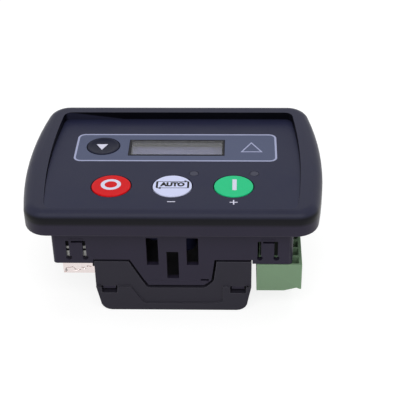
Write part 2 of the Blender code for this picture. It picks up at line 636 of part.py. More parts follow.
def build_board():
    width, height = CASE_WIDTH - 2 * (WALL + FIT), CASE_HEIGHT - 2 * (WALL + FIT)
    board = solid("main_board", prism(rounded_rect(width, height, CASE_CORNER), BOARD_REAR, BOARD_FRONT),
                  ((38, 92, 62), 0.45))
    notch = 2 * (SLOT_PITCH + SLOT_WIDTH / 2 + SEAT) + WALL
    notches = [block(around(0, notch), around(side * height / 2, 2 * BOARD_NOTCH_DEPTH),
                     (BOARD_REAR - WALL, BOARD_FRONT + WALL)) for side in (-1, 1)]
    holes = [cylinder(PILOT_DIAMETER + 2 * FIT, BOARD_REAR - WALL, BOARD_FRONT + WALL, sx * BOSS_X, sy * BOSS_Y, 16)
             for sx in (-1, 1) for sy in (-1, 1)]
    cut(board, *notches, *holes)

    rear = BOARD_REAR - SEAT
    relay_x = COVER_WIDTH / 2 - COVER_SIDE_WALL - PART_GAP - RELAY_WIDTH / 2
    relay_y = (RELAY_LENGTH + PART_GAP) / 2
    crystal_x = relay_x - RELAY_WIDTH / 2 - PART_GAP - CRYSTAL_WIDTH / 2
    chip_x = crystal_x - (CRYSTAL_WIDTH + CHIP_SIZE) / 2 - PART_GAP
    inductor_y = relay_y - (CHIP_SIZE + INDUCTOR_SIZE) / 2 - PART_GAP
    black, steel = (34, 34, 36), (190, 190, 192)
    boxes = (("processor", chip_x, relay_y, CHIP_SIZE, CHIP_SIZE, CHIP_HEIGHT, black),
             ("clock_crystal", crystal_x, relay_y, CRYSTAL_WIDTH, CRYSTAL_LENGTH, CRYSTAL_HEIGHT, steel),
             ("power_inductor", chip_x, inductor_y, INDUCTOR_SIZE, INDUCTOR_SIZE, INDUCTOR_HEIGHT, black),
             ("crank_relay", relay_x, relay_y, RELAY_WIDTH, RELAY_LENGTH, RELAY_HEIGHT, black),
             ("fuel_relay", relay_x, -relay_y, RELAY_WIDTH, RELAY_LENGTH, RELAY_HEIGHT, black))
    for name, x, y, w, h, tall, colour in boxes:
        body = block(around(0, w), around(0, h), (-tall, 0))
        rounded(body, [e for e in body.edges if any(v.co.z < -tall / 2 for v in e.verts)], PART_ROUND, 2)
        solid(name, body, (colour, 0.5), (x, y, rear))

    supply_x = crystal_x - (SUPPLY_CAN - CRYSTAL_WIDTH) / 2
    supply_y = inductor_y - (INDUCTOR_SIZE + SUPPLY_CAN) / 2 - PART_GAP
    filter_x = supply_x - (SUPPLY_CAN + FILTER_CAN) / 2 - PART_GAP
    cans = (("supply_capacitor", supply_x, supply_y, SUPPLY_CAN, SUPPLY_CAN_HEIGHT),
            ("filter_capacitor", filter_x, supply_y, FILTER_CAN, FILTER_CAN_HEIGHT))
    for name, x, y, diameter, tall in cans:
        r, groove = diameter / 2, -CAN_GROOVE
        can = [(0, -tall), (r - CAN_ROUND, -tall), (r, CAN_ROUND - tall), (r, groove), (r - CAN_ROUND, groove * 0.8),
               (r, groove * 0.6), (r, 0), (0, 0)]
        solid(name, turned(can, 32), ((60, 62, 92), 0.35), (x, y, rear))


def build_usb():
    front, base = -inner_wall + FIT, BOARD_REAR - SEAT
    usb_x = -(COVER_WIDTH + USB_WIDTH) / 2 - SEAT
    middle = front + USB_DEPTH / 2

    def shell_points(inset):
        half, deep, bite = USB_WIDTH / 2 - inset, USB_DEPTH / 2 - inset, USB_CHAMFER - inset * 0.6
        return [(-half, -deep), (half, -deep), (half, deep - bite), (half - bite, deep), (-half + bite, deep),
                (-half, deep - bite)]

    shell = solid("usb_shell", prism(shell_points(0), -USB_LENGTH, 0), TINNED, (usb_x, middle, base))
    cut(shell, prism(shell_points(USB_SHELL), -USB_LENGTH - WALL, -USB_SHELL))
    seat = -USB_SHELL - SEAT
    insert = solid("usb_insert", prism(shell_points(USB_SHELL + SEAT), seat - USB_BLOCK, seat), ((222, 222, 218), 0.5),
                   (usb_x, middle, base))
    add(insert, block(around(0, USB_WIDTH * 0.45), around(0, USB_DEPTH * 0.28),
                      (seat - USB_BLOCK - USB_TONGUE_LENGTH, seat - USB_BLOCK / 2)))


def build_outputs():
    low = -outer_wall
    high = low + WAYS * PITCH + 2 * PLUG_END
    front = CASE_REAR - FIT
    rear, left, right = front - PLUG_HEIGHT, COVER_WIDTH / 2 + PLUG_INSET, CASE_WIDTH / 2 + PLUG_OVERHANG
    nose = left + NOSE_INSET, left + NOSE_INSET + NOSE_WIDTH
    cell = nose[1] + CELL_INSET, right - PLUG_SKIN
    foot = rear + PLUG_SLOPE
    section = [(left, rear), (cell[0], rear), (right - 1.5 * PLUG_SKIN, foot),
               (right - PLUG_SKIN / 2, foot - PLUG_SLOPE * 0.4), (right, foot - PLUG_SLOPE * 0.3),
               (right, front), (left, front)]
    plug = solid("output_plug", prism(section, low, high, "Y"), GREEN_PA)
    pocket_low = -inner_wall + FIT + HEADER_WALL
    pocket_high = high - HEADER_WALL
    add(plug, block(nose, (pocket_low + FIT, pocket_high - FIT), (front - WALL, front + NOSE_LENGTH)))
    ways = [low + PLUG_END + PITCH * (i + 0.5) for i in range(WAYS)]
    cells = [block(cell, around(y, CELL_WIDTH), (front - CELL_DEPTH, front + WALL)) for y in ways]
    entries = [block(around(sum(nose) / 2, ENTRY_SIZE), around(y, ENTRY_SIZE), (rear - WALL, rear + ENTRY_DEPTH))
               for y in ways]
    cut(plug, *cells, *entries)

    mouth, base = front + SEAT, BOARD_REAR - SEAT
    sides = nose[0] - FIT, nose[1] + FIT
    header = solid("output_header", block((sides[0] - HEADER_WALL, sides[1] + HEADER_WALL),
                   (pocket_low - HEADER_WALL, pocket_high + HEADER_WALL), (mouth, base)), GREEN_PA)
    cut(header, block(sides, (pocket_low, pocket_high), (mouth - WALL, front + NOSE_LENGTH + NOSE_ROOM)))


def build_sensing():
    length = SENSE_WAYS * SENSE_PITCH
    base = BOARD_REAR - SEAT
    sense_x = SENSE_WIDTH / 2 + FIT + WALL - CASE_WIDTH / 2
    sense_y = inner_wall - SENSE_END - length / 2
    header = solid("sensing_header", block(around(0, SENSE_WIDTH), around(0, length), (-SENSE_HEIGHT, 0)), GREEN_PA,
                   (sense_x, sense_y, base))
    cut(header, block(around(0, SENSE_WIDTH - 2 * HEADER_WALL), around(0, length - 2 * HEADER_WALL),
                      (-SENSE_HEIGHT - WALL, -HEADER_FLOOR)))
    for i in range(SENSE_WAYS):
        y = sense_y + SENSE_PITCH * (i - (SENSE_WAYS - 1) / 2)
        pin = block(around(0, PIN_SIZE), around(0, PIN_SIZE), (-PIN_LENGTH, 0))
        solid("sensing_pin_%d" % (i + 1), pin, TINNED, (sense_x, y, base - HEADER_FLOOR - SEAT))


for existing in list(bpy.data.objects):
    bpy.data.objects.remove(existing, do_unlink=True)
build_front_case()
build_rear_cover()
build_fascia()
build_keys()
build_lights()
build_display()
build_board()
build_usb()
build_outputs()
build_sensing()
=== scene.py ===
import math

import bmesh
import bpy
from mathutils import Matrix, Vector


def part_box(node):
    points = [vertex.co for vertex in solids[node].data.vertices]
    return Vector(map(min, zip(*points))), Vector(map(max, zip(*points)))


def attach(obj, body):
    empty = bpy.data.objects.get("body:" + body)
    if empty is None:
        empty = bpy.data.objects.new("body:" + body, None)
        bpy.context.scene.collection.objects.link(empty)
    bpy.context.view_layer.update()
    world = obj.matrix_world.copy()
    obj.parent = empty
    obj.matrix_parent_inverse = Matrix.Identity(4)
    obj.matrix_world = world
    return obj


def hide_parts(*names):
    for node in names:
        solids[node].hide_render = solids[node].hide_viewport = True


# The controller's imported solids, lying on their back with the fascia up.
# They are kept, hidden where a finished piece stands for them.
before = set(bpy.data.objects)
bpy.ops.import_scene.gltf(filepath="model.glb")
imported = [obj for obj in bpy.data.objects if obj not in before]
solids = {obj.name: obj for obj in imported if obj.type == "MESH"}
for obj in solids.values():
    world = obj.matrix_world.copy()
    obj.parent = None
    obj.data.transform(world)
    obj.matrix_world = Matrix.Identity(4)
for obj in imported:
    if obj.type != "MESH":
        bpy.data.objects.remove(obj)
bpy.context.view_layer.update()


# Camera: a long lens over the lower edge, looking down at the fascia.
# Its place, aim and length follow from the bezel, the keys and the case edges.
FRAME_PIXELS = 416
LENS_PIXELS = 1144.922
eye = Vector((0.02551, -0.37709, 0.30515))
ahead = Vector((-0.026814, 0.802556, -0.595974)).normalized()
across = ahead.cross(Vector((-0.003703, 0.596104, 0.802898))).normalized()
upward = across.cross(ahead)
lens = bpy.data.cameras.new("camera")
lens.sensor_width = 36.0
lens.lens = LENS_PIXELS / FRAME_PIXELS * lens.sensor_width
lens.clip_start = 0.01
camera = bpy.data.objects.new("camera", lens)
camera.matrix_world = Matrix.Translation(eye) @ Matrix((across, upward, -ahead)).transposed().to_4x4()
bpy.context.scene.collection.objects.link(camera)
bpy.context.scene.camera = camera


# Front case: bezel, panel flange, case walls and snap fingers are one injection moulding in black ABS.
# Its skin is spark-eroded to a satin.
# Its edges are eased, and the finger slits end in drilled relief holes.
CASE_WALL_Y, WALL_INNER_Y = 0.0337, 0.0319
CASE_EDGE = 0.00022
CORNER_ROUND = 0.0009
FINGER_X = 0.0369
SLIT_OFFSET = 0.0032
SLIT_END_Z, SLIT_TOP_Z = 0.0261, 0.0342
SLIT_LEG = (-0.0023, 0.0041)
SLIT_TRIM = {-1: 0.00055, 1: 0.0004}
RELIEF_RADIUS, RELIEF_REACH = 0.00115, (0.0312, 0.0342)
NIB_HALF = 0.0028
NIB_PROFILE = ((-0.0004, 0.0002), (0.0003, 0.0003), (0.00005, 0.0013), (-0.0004, 0.0013))
TONGUE_SET_BACK = ((0.0342, 0.0108), (0.03325, 0.0108), (0.0334, 0.0143), (0.0342, 0.0152))
TONGUE_LEFT, TONGUE_RIGHT = -0.012, 0.0131
CORNER_LINES = ((-0.0099, 0.0120), (0.0120, 0.0120), (0.0149, 0.0149), (-0.0464, 0.0233), (0.0464, 0.0233))
FASCIA_LEAN = 0.048225
SOFT_GLOSS = 0.15


def srgb(red, green, blue):
    """A colour as it is seen, from 0 to 255, in the linear numbers of a shader."""
    parts = [c / 255 for c in (red, green, blue)]
    return tuple(((c + 0.055) / 1.055) ** 2.4 if c > 0.04045 else c / 12.92 for c in parts) + (1.0,)


def toned(colour, factor, added=0.0):
    """A shader's colour made lighter or darker, and no brighter than white."""
    return tuple(min(1.0, c * factor + added) for c in colour[:3]) + (1.0,)


def place(tree, kind, inputs=None, **settings):
    """A shader node with its settings; an input is a value, or another node's socket."""
    node = tree.nodes.new(kind)
    for name, value in settings.items():
        setattr(node, name, value)
    for key, value in (inputs or {}).items():
        if isinstance(value, bpy.types.NodeSocket):
            tree.links.new(value, node.inputs[key])
        else:
            node.inputs[key].default_value = value
    return node


def object_place(tree):
    """Where a point lies on the object."""
    return place(tree, "ShaderNodeTexCoord").outputs["Object"]


def noise(tree, spot, scale, detail, roughness=0.5):
    """A cloudy value from 0 to 1."""
    return place(tree, "ShaderNodeTexNoise", {"Vector": spot, "Scale": scale, "Detail": detail,
                                              "Roughness": roughness}).outputs["Fac"]


def graded(tree, value, low, high, to_low=0.0, to_high=1.0):
    """A value carried over from one range to another, and held at its ends."""
    return place(tree, "ShaderNodeMapRange", {"Value": value, "From Min": low, "From Max": high,
                                              "To Min": to_low, "To Max": to_high}).outputs["Result"]


def maths(tree, operation, *values):
    """The result of one sum on one or two values."""
    return place(tree, "ShaderNodeMath", dict(enumerate(values)), operation=operation).outputs[0]


def mixed(tree, share, colour, other, **settings):
    """A colour that goes over into another as far as its share lets it."""
    return place(tree, "ShaderNodeMix", {0: share, 6: colour, 7: other}, data_type="RGBA",
                 **settings).outputs[2]


def multiplied(tree, colour, mask, tone):
    """A colour times a tone, as far as a mask lets it."""
    share = mixed(tree, mask, (1.0, 1.0, 1.0, 1.0), tone + (1.0,))
    return mixed(tree, 1.0, colour, share, blend_type="MULTIPLY")


def grained(tree, shader, height, strength, relief):
    """Gives a surface the relief of a height that changes over it."""
    bump = place(tree, "ShaderNodeBump", {"Height": height, "Strength": strength, "Distance": relief})
    tree.links.new(bump.outputs["Normal"], shader.inputs["Normal"])


def new_finish(name):
    """A new material, its nodes and its surface shader."""
    finish = bpy.data.materials.new(name)
    finish.use_nodes = True
    return finish, finish.node_tree, finish.node_tree.nodes["Principled BSDF"]


def effect(name, inputs, outputs):
    """An empty node group for an effect that several finishes use."""
    group = bpy.data.node_groups.new(name, "ShaderNodeTree")
    for label, value in inputs.items():
        socket = group.interface.new_socket(label, in_out="INPUT", socket_type="NodeSocketFloat")
        socket.default_value = value
    for label in outputs:
        group.interface.new_socket(label, in_out="OUTPUT", socket_type="NodeSocketFloat")
    return group, place(group, "NodeGroupInput"), place(group, "NodeGroupOutput")


# Spark-eroded mould skin: fine grain, slow cloudiness, edges that handling polishes and that on the rear
# cover also carry a painted highlight, and specks of dust
mould_skin, asked, given = effect("mould_skin", {"Grain scale": 3200.0, "Edge width": 0.0004},
                                  ("Height", "Cloud", "Edge", "Speck"))
spot = object_place(mould_skin)
rounded = place(mould_skin, "ShaderNodeBevel", {"Radius": asked.outputs["Edge width"]}, samples=4)
facing = place(mould_skin, "ShaderNodeNewGeometry")
bend = place(mould_skin, "ShaderNodeVectorMath", {0: rounded.outputs["Normal"], 1: facing.outputs["Normal"]},
             operation="DOT_PRODUCT")
dust = place(mould_skin, "ShaderNodeTexVoronoi", {"Vector": spot, "Scale": 420.0, "Randomness": 1.0})
for label, result in (("Height", noise(mould_skin, spot, asked.outputs["Grain scale"], 3.0, 0.6)),
                      ("Cloud", noise(mould_skin, spot, 70.0, 3.0, 0.55)),
                      ("Edge", graded(mould_skin, bend.outputs["Value"], 0.995, 0.86)),
                      ("Speck", graded(mould_skin, dust.outputs["Distance"], 0.075, 0.03))):
    mould_skin.links.new(result, given.inputs[label])


def moulded(name, colour, roughness, grain_scale=3200.0, relief=0.00001, wear_and_sheen=0.3, spread=0.1, rub_and_sheen=0.012):
    """A moulded plastic: its colour drifts slightly, edges are painted paler for polish, and on the rear
    cover also as a painted highlight, and the skin has a fine grain.
    """
    finish, tree, shader = new_finish(name)
    shader.inputs["Specular IOR Level"].default_value = SOFT_GLOSS
    skin = place(tree, "ShaderNodeGroup", {"Grain scale": grain_scale}, node_tree=mould_skin).outputs
    base = srgb(*colour)
    body = mixed(tree, skin["Cloud"], toned(base, 1 - spread), toned(base, 1 + spread))
    edged = mixed(tree, maths(tree, "MULTIPLY", skin["Edge"], wear_and_sheen), body, toned(base, 1.5, rub_and_sheen))
    dusted = mixed(tree, maths(tree, "MULTIPLY", skin["Speck"], 0.25), edged, toned(base, 1.4, 0.02))
    tree.links.new(dusted, shader.inputs["Base Color"])
    rough = graded(tree, skin["Cloud"], 0.3, 0.7, roughness - 0.05, roughness + 0.05)
    tree.links.new(rough, shader.inputs["Roughness"])
    grained(tree, shader, skin["Height"], 0.6, relief)
    return finish


def weld(bm, reach=0.000002):
    """Merges the points that lie on one another."""
    bmesh.ops.remove_doubles(bm, verts=bm.verts, dist=reach)


def merged_copy(node, whole=True):
    """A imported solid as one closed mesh, with its flat faces whole again if asked."""
    bm = bmesh.new()
    bm.from_mesh(solids[node].data)
    weld(bm)
    if whole:
        bmesh.ops.dissolve_limit(bm, angle_limit=math.radians(1), verts=bm.verts, edges=bm.edges)
    return bm


def ease(bm, edges, width, segments=2):
    """Rounds some edges, as a tool's cutter leaves them."""
    bmesh.ops.bevel(bm, geom=list(edges), offset=width, segments=segments, profile=0.5, affect="EDGES",
                    material=-1, clamp_overlap=True)


def sharp_edges(bm, angle=35, shortest=0.0007):
    """The edges where two faces meet at an angle, but for the very short ones."""
    return [e for e in bm.edges if e.is_manifold and e.calc_length() > shortest
            and e.calc_face_angle() > math.radians(angle)]


def edges_through(bm, shortest):
    """The edges that run through a wall, from front to back."""
    return [e for e in bm.edges if abs(e.verts[0].co.y - e.verts[1].co.y) > shortest]


def on_line(edge, x, z, reach=0.00002):
    """Whether an edge lies on a line through the case, from front to back."""
    return all(abs(v.co.x - x) < reach and abs(v.co.z - z) < reach for v in edge.verts)


def made(name, bm, finish, body="housing", smooth=32, stands_for=()):
    """A mesh as a finished piece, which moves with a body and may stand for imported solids."""
    mesh = bpy.data.meshes.new(name)
    bm.to_mesh(mesh)
    bm.free()
    piece = bpy.data.objects.new(name, mesh)
    bpy.context.scene.collection.objects.link(piece)
    mesh.materials.clear()
    mesh.materials.append(finish)
    mesh.shade_smooth()
    mesh.set_sharp_from_angle(angle=math.radians(smooth))
    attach(piece, body)
    if stands_for:
        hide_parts(*stands_for)
    return piece


def shaped(bm, operation, *tools):
    """A mesh after exact Booleans with other closed meshes, which are used up."""
    things = []
    for part in (bm, *tools):
        mesh = bpy.data.meshes.new("shape")
        part.to_mesh(mesh)
        part.free()
        things.append(bpy.data.objects.new("shape", mesh))
        bpy.context.scene.collection.objects.link(things[-1])
    for tool in things[1:]:
        step = things[0].modifiers.new("step", "BOOLEAN")
        step.operation, step.solver, step.object = operation, "EXACT", tool
    bpy.context.view_layer.update()
    result = bmesh.new()
    result.from_object(things[0], bpy.context.evaluated_depsgraph_get())
    for thing in things:
        bpy.data.meshes.remove(thing.data)
    return result


def swept(outline, low, high, axis):
    """A closed outline of (a, b) points swept from one station to another along an axis."""
    turn = {"X": lambda a, b, c: (c, a, b), "Y": lambda a, b, c: (a, c, b),
            "Z": lambda a, b, c: (a, b, c)}[axis]
    bm = bmesh.new()
    face = bm.faces.new([bm.verts.new(turn(a, b, low)) for a, b in outline])
    grown = bmesh.ops.extrude_face_region(bm, geom=[face])["geom"]
    bmesh.ops.translate(bm, vec=turn(0, 0, high - low),
                        verts=[part for part in grown if isinstance(part, bmesh.types.BMVert)])
    bmesh.ops.recalc_face_normals(bm, faces=bm.faces)
    return bm


def drill(radius, x, z, low, high):
    """A round bar from front to back, to cut a hole with."""
    bm = bmesh.new()
    turned = Matrix.Rotation(math.pi / 2, 4, "X")
    bmesh.ops.create_cone(bm, cap_ends=True, segments=32, radius1=radius, radius2=radius, depth=high - low,
                          matrix=Matrix.Translation((x, (low + high) / 2, z)) @ turned)
    return bm


def box_loop(left, right, low, high, radius=0.0, steps=6):
    """An outline with square or rounded corners."""
    if radius == 0:
        return [(left, low), (right, low), (right, high), (left, high)]
    points = []
    for quarter, (cx, cy) in enumerate(((right - radius, low + radius), (right - radius, high - radius),
                                        (left + radius, high - radius), (left + radius, low + radius))):
        for i in range(steps + 1):
            a = math.pi / 2 * (quarter - 1 + i / steps)
            points.append((cx + radius * math.cos(a), cy + radius * math.sin(a)))
    return points


moulding = merged_copy("front_case")
holes, nibs, lips, set_backs = [], [], [], []
for wall in (-1, 1):
    for side in (-1, 1):
        for offset in (-SLIT_OFFSET, SLIT_OFFSET):
            reach = sorted(wall * y for y in RELIEF_REACH)
            holes.append(drill(RELIEF_RADIUS, side * FINGER_X + offset, SLIT_END_Z, *reach))
        nib = [(wall * (CASE_WALL_Y + out), SLIT_TOP_Z + up) for out, up in NIB_PROFILE]
        nibs.append(swept(nib, side * FINGER_X - NIB_HALF, side * FINGER_X + NIB_HALF, "X"))
        front, rear = sorted((wall * (CASE_WALL_Y - 0.00005), wall * WALL_INNER_Y))
        for leg in SLIT_LEG:
            right = side * FINGER_X + leg
            lips.append(swept(box_loop(right - SLIT_TRIM[side], right + 0.0003, front, rear),
                              SLIT_END_Z + 0.0006, SLIT_TOP_Z + 0.0002, "Z"))
    set_backs.append(swept([(wall * y, z) for y, z in TONGUE_SET_BACK], TONGUE_LEFT, TONGUE_RIGHT, "X"))
ease(moulding, [e for e in edges_through(moulding, 0.0008)
                if any(on_line(e, x, z) for x, z in CORNER_LINES)], CORNER_ROUND, 4)
moulding = shaped(moulding, "DIFFERENCE", *holes, *set_backs)
moulding = shaped(moulding, "UNION", *nibs, *lips)
weld(moulding)
ease(moulding, sharp_edges(moulding), CASE_EDGE)

# The rim's rounding and the recess's walls are painted in darker shade, as they look in the photo; the
# plastic is one.
# Heights are above the rear cover's back, with the lean of the face taken out.
# Painted shade: a dark band round the rim's rounding stands for a dark reflection, and the case walls below
# it are lifted back out of that band.
ROUNDING_SHADE_HEIGHTS, ROUNDING_PAINTED_SHADE = (0.0476, 0.0466), (0.16, 0.15, 0.14)
WALLS_LIFT_HEIGHTS, WALLS_SHADE_LIFT = (0.0446, 0.0432), (7.0, 6.0, 6.2)
RECESS_FOOT, RECESS_FAR_Y, RECESS_HALF = 0.0492, 0.025, 0.0515
# Painted shadow on the recess's top wall, tapering off towards its left end.
TOP_SHADOW_RISE, TOP_SHADOW_TAPER, TOP_WALL_PAINTED_SHADOW = (0.0493, 0.0526), (-0.047, -0.023), (0.1, 0.1, 0.1)
# Painted shade on the recess's side walls.
SIDE_WALL_PAINTED_SHADE = (0.12, 0.12, 0.12)
bezel_plastic = moulded("bezel_plastic", (41, 42, 60), 0.36, relief=0.000006)
tree = bezel_plastic.node_tree
spot = object_place(tree)
height = place(tree, "ShaderNodeVectorMath", {0: spot, 1: (0.0, FASCIA_LEAN, 1.0)},
               operation="DOT_PRODUCT").outputs["Value"]
at = place(tree, "ShaderNodeSeparateXYZ", {0: spot}).outputs
facing = place(tree, "ShaderNodeNewGeometry")
toward = place(tree, "ShaderNodeSeparateXYZ", {0: facing.outputs["Normal"]}).outputs
far_part = maths(tree, "MULTIPLY", graded(tree, toward["Y"], -0.5, -0.8),
                 maths(tree, "GREATER_THAN", at["Y"], RECESS_FAR_Y))
shadow_taper = maths(tree, "ADD", graded(tree, height, *TOP_SHADOW_RISE),
              graded(tree, at["X"], *TOP_SHADOW_TAPER, -1.0, 0.0))
top_wall_shadow = maths(tree, "MULTIPLY", far_part, graded(tree, shadow_taper, -0.05, 0.05))
within = maths(tree, "LESS_THAN", maths(tree, "ABSOLUTE", at["X"]), RECESS_HALF)
recess_part = maths(tree, "MULTIPLY", within, maths(tree, "GREATER_THAN", height, RECESS_FOOT))
side_wall_shade = maths(tree, "MULTIPLY", recess_part,
                  graded(tree, maths(tree, "ABSOLUTE", toward["X"]), 0.6, 0.85))
surface = tree.nodes["Principled BSDF"].inputs["Base Color"]
colour = surface.links[0].from_socket
# Each mask multiplies its painted shade, or the walls' lift out of it, into the plastic's colour.
for mask, tone in ((graded(tree, height, *ROUNDING_SHADE_HEIGHTS), ROUNDING_PAINTED_SHADE),
                   (graded(tree, height, *WALLS_LIFT_HEIGHTS), WALLS_SHADE_LIFT),
                   (top_wall_shadow, TOP_WALL_PAINTED_SHADOW), (side_wall_shade, SIDE_WALL_PAINTED_SHADE)):
    colour = multiplied(tree, colour, mask, tone)
tree.links.new(colour, surface)
front_moulding = made("front_moulding", moulding, bezel_plastic,
                      stands_for=["front_case"])
front_moulding.modifiers.new("flats", "WEIGHTED_NORMAL").keep_sharp = True


# Rear cover: a shallow box in black ABS that snaps over four hooks of the front case.
# A seam is left round the case's tongue and under its wings, and the open end's corners are rounded.
COVER_HALF = 0.0306
COVER_TOP_Z = 0.0241
SEAM_REACH = (0.0312, 0.0352)
SEAM = [(-0.01045, 0.0109), (0.01245, 0.0109), (0.01585, 0.0143), (0.0172, 0.0255), (-0.0179, 0.0255)]
SEAM_ROUND, COVER_CORNER, COVER_LIP, COVER_EDGE = 0.0011, 0.0008, 0.00042, 0.00025
cover = merged_copy("rear_cover")
gaps = []
for wall in (-1, 1):
    low, high = sorted(wall * y for y in SEAM_REACH)
    gap = swept(SEAM, low, high, "Y")
    ease(gap, [e for e in edges_through(gap, 0.001) if max(v.co.z for v in e.verts) < 0.02], SEAM_ROUND, 4)
    gaps += [gap, swept(box_loop(-0.0325, 0.0325, COVER_TOP_Z, 0.0262), low, high, "Y")]
cover = shaped(cover, "DIFFERENCE", *gaps)
weld(cover)
ease(cover, [e for e in cover.edges
             if all(abs(abs(v.co.x) - COVER_HALF) < 1e-5 and v.co.z > COVER_TOP_Z - 1e-5 for v in e.verts)],
     COVER_CORNER, 3)
ease(cover, [e for e in sharp_edges(cover, 50)
             if all(abs(v.co.y) > 0.0342 and 0.002 < v.co.z < 0.016 and abs(v.co.x) < 0.0225
                    for v in e.verts)], COVER_LIP, 3)
ease(cover, sharp_edges(cover), COVER_EDGE)
# Its edges are painted much paler than the other mouldings': partly rubbing, partly a painted highlight that
# stands for the lit lip of the step and the cover's edges.
cover_plastic = moulded("cover_plastic", (45, 43, 53), 0.46, grain_scale=2600.0, wear_and_sheen=0.9, rub_and_sheen=0.05)
rear_shell = made("rear_shell", cover, cover_plastic, stands_for=["rear_cover"])
rear_shell.modifiers.new("flats", "WEIGHTED_NORMAL").keep_sharp = True


# Fascia film: a velvet-textured polyester overlay glued into the bezel's recess.
# It leans, so that it comes out flush at its lower edge, and it is cut out for keys, lights and window.
FILM_REACH = 0.00019
film_finish = moulded("film_finish", (34, 36, 58), 0.4, grain_scale=5200.0, relief=0.000004, wear_and_sheen=0.15,
                      spread=0.05)
film = merged_copy("fascia_overlay")
for vert in film.verts:
    low_share = max(0.0, min(1.0, (-0.020 - vert.co.y) / 0.014))
    if abs(vert.co.x) > 0.046:
        vert.co.x += math.copysign(FILM_REACH * low_share, vert.co.x)
    if vert.co.y < -0.0348:
        vert.co.y -= FILM_REACH
made("fascia_film", film, film_finish, stands_for=["fascia_overlay"])


# Printing on the film: the grey panel round the display, its light border, the alarm symbol and the signs.
# It is screen ink a few hundredths of a millimetre thick, and it leans with the film.
FASCIA_LOW_Y, FASCIA_LOW_Z = -0.0352, 0.05096
INK = 0.00005
PANEL_LEFT, PANEL_RIGHT, PANEL_LOW, PANEL_HIGH = -0.04054, 0.04076, -0.0016, 0.01971
PANEL_LINE, PANEL_CORNER, FIELD_CORNER = 0.0008, 0.003, 0.0022
SCROLL_HOLE, WINDOW_GAP = 0.0137, 0.0002
ALARM_OUTER, ALARM_SHARE = [(0.02615, 0.00545), (0.03505, 0.0055), (0.03055, 0.01335)], 0.79
PLUS_X, PLUS_Y, PLUS_ARM, PLUS_BAR = 0.0236, -0.03086, 0.0015, 0.00025


def fascia_z(y):
    """Height of the film's face."""
    return FASCIA_LOW_Z - FASCIA_LEAN * (y - FASCIA_LOW_Y)


def ring_loop(x, y, across_x, across_y, sides=72):
    """An ellipse, or a circle where it is as high as it is wide."""
    return [(x + across_x / 2 * math.cos(2 * math.pi * i / sides),
             y + across_y / 2 * math.sin(2 * math.pi * i / sides)) for i in range(sides)]


def laid_flat(flat, lift):
    """A flat curve or text as a closed skin that leans with the film."""
    bpy.context.scene.collection.objects.link(flat)
    bpy.context.view_layer.update()
    skin = bpy.data.meshes.new_from_object(flat.evaluated_get(bpy.context.evaluated_depsgraph_get()))
    bm = bmesh.new()
    bm.from_mesh(skin)
    bpy.data.meshes.remove(skin)
    bmesh.ops.transform(bm, matrix=flat.matrix_world, verts=bm.verts)
    bpy.data.objects.remove(flat)
    weld(bm, 0.000001)
    for vert in bm.verts:
        vert.co.z += fascia_z(vert.co.y) + lift
    bmesh.ops.recalc_face_normals(bm, faces=bm.faces)
    return bm


def printed(name, loops, ink, lift=0.0, body="housing", thick=INK):
    """Ink inside a set of outlines; an outline within another is left clear."""
    outline = bpy.data.curves.new(name, "CURVE")
    outline.dimensions, outline.fill_mode, outline.extrude = "2D", "BOTH", thick / 2
    for loop in loops:
        spline = outline.splines.new("POLY")
        spline.points.add(len(loop) - 1)
        for point, (x, y) in zip(spline.points, loop):
            point.co = (x, y, 0, 1)
        spline.use_cyclic_u = True
    return made(name, laid_flat(bpy.data.objects.new(name, outline), lift), ink, body)


def ink_finish(name, colour, roughness=0.4):
    """Screen ink: a flat film with tiny pinholes and a slight drift in its colour."""
    finish, tree, shader = new_finish(name)
    shader.inputs["Specular IOR Level"].default_value = SOFT_GLOSS
    skin = place(tree, "ShaderNodeGroup", {"Grain scale": 5200.0}, node_tree=mould_skin).outputs
    base = srgb(*colour)
    tree.links.new(mixed(tree, skin["Height"], toned(base, 0.9), base), shader.inputs["Base Color"])
    rough = graded(tree, skin["Cloud"], 0.0, 1.0, roughness - 0.06, roughness + 0.06)
    tree.links.new(rough, shader.inputs["Roughness"])
    grained(tree, shader, skin["Height"], 0.5, 0.000004)
    return finish


panel_ink = ink_finish("panel_ink", (81, 88, 115))
line_ink = ink_finish("line_ink", (168, 173, 205))
white_ink = ink_finish("white_ink", (222, 222, 242))
black_ink = ink_finish("black_ink", (24, 24, 30))
window_low, window_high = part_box("display_window")
scroll_low, scroll_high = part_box("scroll_key")
scroll_x, scroll_y = (scroll_low.x + scroll_high.x) / 2, (scroll_low.y + scroll_high.y) / 2
field = box_loop(PANEL_LEFT + PANEL_LINE, PANEL_RIGHT - PANEL_LINE, PANEL_LOW + PANEL_LINE,
                 PANEL_HIGH - PANEL_LINE, FIELD_CORNER)
printed("panel_border", [box_loop(PANEL_LEFT, PANEL_RIGHT, PANEL_LOW, PANEL_HIGH, PANEL_CORNER), field],
        line_ink)
printed("panel_field", [field, ring_loop(scroll_x, scroll_y, SCROLL_HOLE, SCROLL_HOLE),
                        box_loop(window_low.x - WINDOW_GAP, window_high.x + WINDOW_GAP,
                                 window_low.y - WINDOW_GAP, window_high.y + WINDOW_GAP)], panel_ink)
mid_x, mid_y = (sum(point[i] for point in ALARM_OUTER) / 3 for i in (0, 1))
alarm_inner = [(mid_x + (x - mid_x) * ALARM_SHARE, mid_y + (y - mid_y) * ALARM_SHARE)
               for x, y in ALARM_OUTER]
printed("alarm_triangle", [ALARM_OUTER, alarm_inner], line_ink, INK)
printed("minus_sign", [box_loop(-0.0014, 0.0016, -0.03085, -0.03037)], white_ink)
arm_corners, plus = [(-PLUS_ARM, -PLUS_BAR), (-PLUS_BAR, -PLUS_BAR), (-PLUS_BAR, -PLUS_ARM)], []
for quarter in range(4):
    plus += [(PLUS_X + x, PLUS_Y + y) for x, y in arm_corners]
    arm_corners = [(-y, x) for x, y in arm_corners]
printed("plus_sign", [plus], white_ink)


